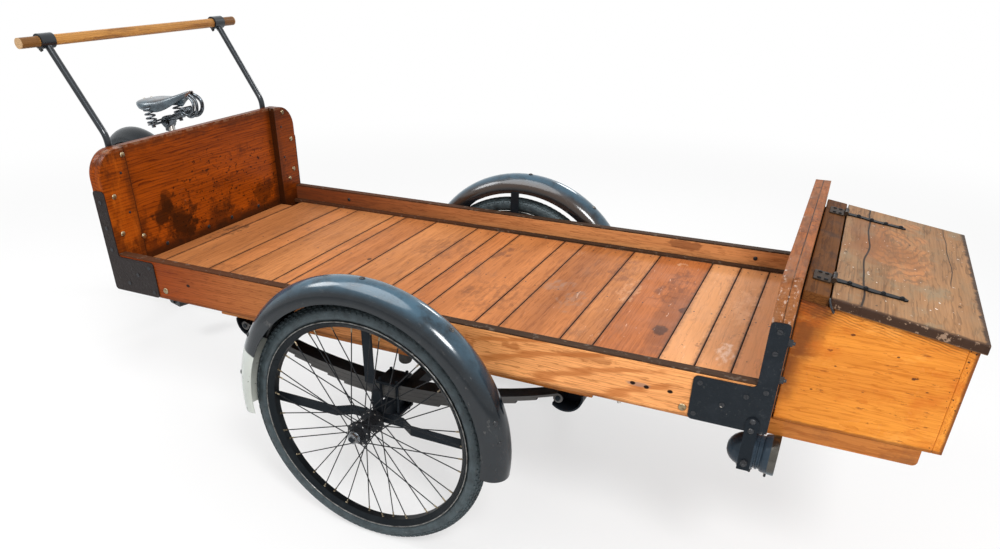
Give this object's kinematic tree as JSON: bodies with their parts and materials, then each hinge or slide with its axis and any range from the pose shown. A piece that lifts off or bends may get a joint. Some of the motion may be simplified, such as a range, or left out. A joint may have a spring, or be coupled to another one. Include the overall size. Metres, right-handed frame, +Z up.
{
  "type": "front-loading carrier tricycle",
  "caption": "Pedal carrier tricycle with a flat wooden load bed on a sprung front axle, a lidded chest ahead, a push bar behind, and a single driven rear wheel on a swivelling frame.",
  "frame": {"origin": "on the ground, midway along the whole vehicle and midway between its far sides as parked", "axes": "+X forward along the load bed towards the chest, +Y to the left, +Z up; the rear frame is parked 16.5 degrees off straight"},
  "size_m": [3.3116, 1.1975, 1.1663],
  "materials": {
    "board_wood": "old varnish, red-brown, worn and stained",
    "floor_wood": "bare and worn orange-brown boards",
    "chest_wood": "varnished yellow pine",
    "lid_wood": "weathered grey-brown board",
    "beam_wood": "dull brown wood",
    "bar_wood": "hand-polished round bar",
    "black_iron": "textured black paint",
    "guard_paint": "glossy black enamel, white tails",
    "dark_steel": "dark polished steel",
    "spring_steel": "blackened steel",
    "bright_steel": "worn nickel",
    "frame_paint": "black enamel",
    "edge_strip": "dark worn strip",
    "tyre": "matt rubber",
    "rubber": "black rubber",
    "leather": "dark polished leather",
    "lens": "clear ribbed glass"
  },
  "bodies": {
    "platform": {"axle_clamps": "spring_steel", "bump_stops": "rubber", "chest_ends": "chest_wood", "chest_floor": "chest_wood", "chest_runners": "chest_wood", "chest_sides": "chest_wood", "chest_top_strip": "lid_wood", "corner_plates": "black_iron", "edge_strips": "edge_strip", "floor_bearers": "beam_wood", "floor_slats": "floor_wood", "front_axle": "spring_steel", "front_board": "board_wood", "headlamp_lens": "lens", "headlamp_shell": "black_iron", "hinge_leaves": "black_iron", "lamp_strap": "black_iron", "leaf_springs": "spring_steel", "mudguard_stays": "black_iron", "mudguards": "guard_paint", "push_bar": "bar_wood", "push_bar_arms": "dark_steel", "rear_board_cleats": "board_wood", "rear_board_panel": "board_wood", "side_boards": "board_wood", "spring_hangers": "spring_steel", "spring_rails": "beam_wood"},
    "front_wheel_right": {"front_right_rim": "frame_paint", "front_right_spoked_hub": "spring_steel", "front_right_tyre": "tyre"},
    "front_wheel_left": {"front_left_rim": "frame_paint", "front_left_spoked_hub": "spring_steel", "front_left_tyre": "tyre"},
    "rear_wheel": {"rear_tyre": "tyre", "rear_rim": "frame_paint", "rear_spoked_hub": "spring_steel"},
    "rear_frame": {"frame_tubes": "frame_paint", "rear_axle": "spring_steel", "rear_mudguard": "guard_paint", "seat_post": "bright_steel", "saddle_top": "leather", "saddle_springs": "bright_steel", "chain": "spring_steel"},
    "cranks": {"crank_set": "bright_steel"},
    "pedal_right": {"right_pedal": "rubber"},
    "pedal_left": {"left_pedal": "rubber"},
    "chest_cover": {"chest_lid": "lid_wood", "lid_straps": "black_iron"}
  },
  "joints": [
    {"name": "steering", "type": "hinge", "parent": "platform", "child": "rear_frame", "pos_m": [0.42185, -0.04856, 0.33], "axis": [0, 0, 1], "range_deg": [-18.5, 51.5]},
    {"name": "front_wheel_right_spin", "type": "hinge", "parent": "platform", "child": "front_wheel_right", "pos_m": [0.42185, -0.53156, 0.33], "axis": [0, 1, 0], "continuous": true},
    {"name": "front_wheel_left_spin", "type": "hinge", "parent": "platform", "child": "front_wheel_left", "pos_m": [0.42185, 0.43444, 0.33], "axis": [0, 1, 0], "continuous": true},
    {"name": "rear_wheel_spin", "type": "hinge", "parent": "rear_frame", "child": "rear_wheel", "pos_m": [-1.26567, 0.45131, 0.33], "axis": [0.284, 0.9588, 0], "continuous": true},
    {"name": "crank_spin", "type": "hinge", "parent": "rear_frame", "child": "cranks", "pos_m": [-0.81503, 0.31782, 0.29], "axis": [0.284, 0.9588, 0], "continuous": true},
    {"name": "pedal_right_spin", "type": "hinge", "parent": "cranks", "child": "pedal_right", "pos_m": [-0.91259, 0.2612, 0.14431], "axis": [0.284, 0.9588, 0], "continuous": true},
    {"name": "pedal_left_spin", "type": "hinge", "parent": "cranks", "child": "pedal_left", "pos_m": [-0.71747, 0.37445, 0.43569], "axis": [0.284, 0.9588, 0], "continuous": true},
    {"name": "chest_lid_hinge", "type": "hinge", "parent": "platform", "child": "chest_cover", "pos_m": [1.38385, -0.04856, 0.80244], "axis": [0, -1, 0], "range_deg": [0, 130]}
  ]
}
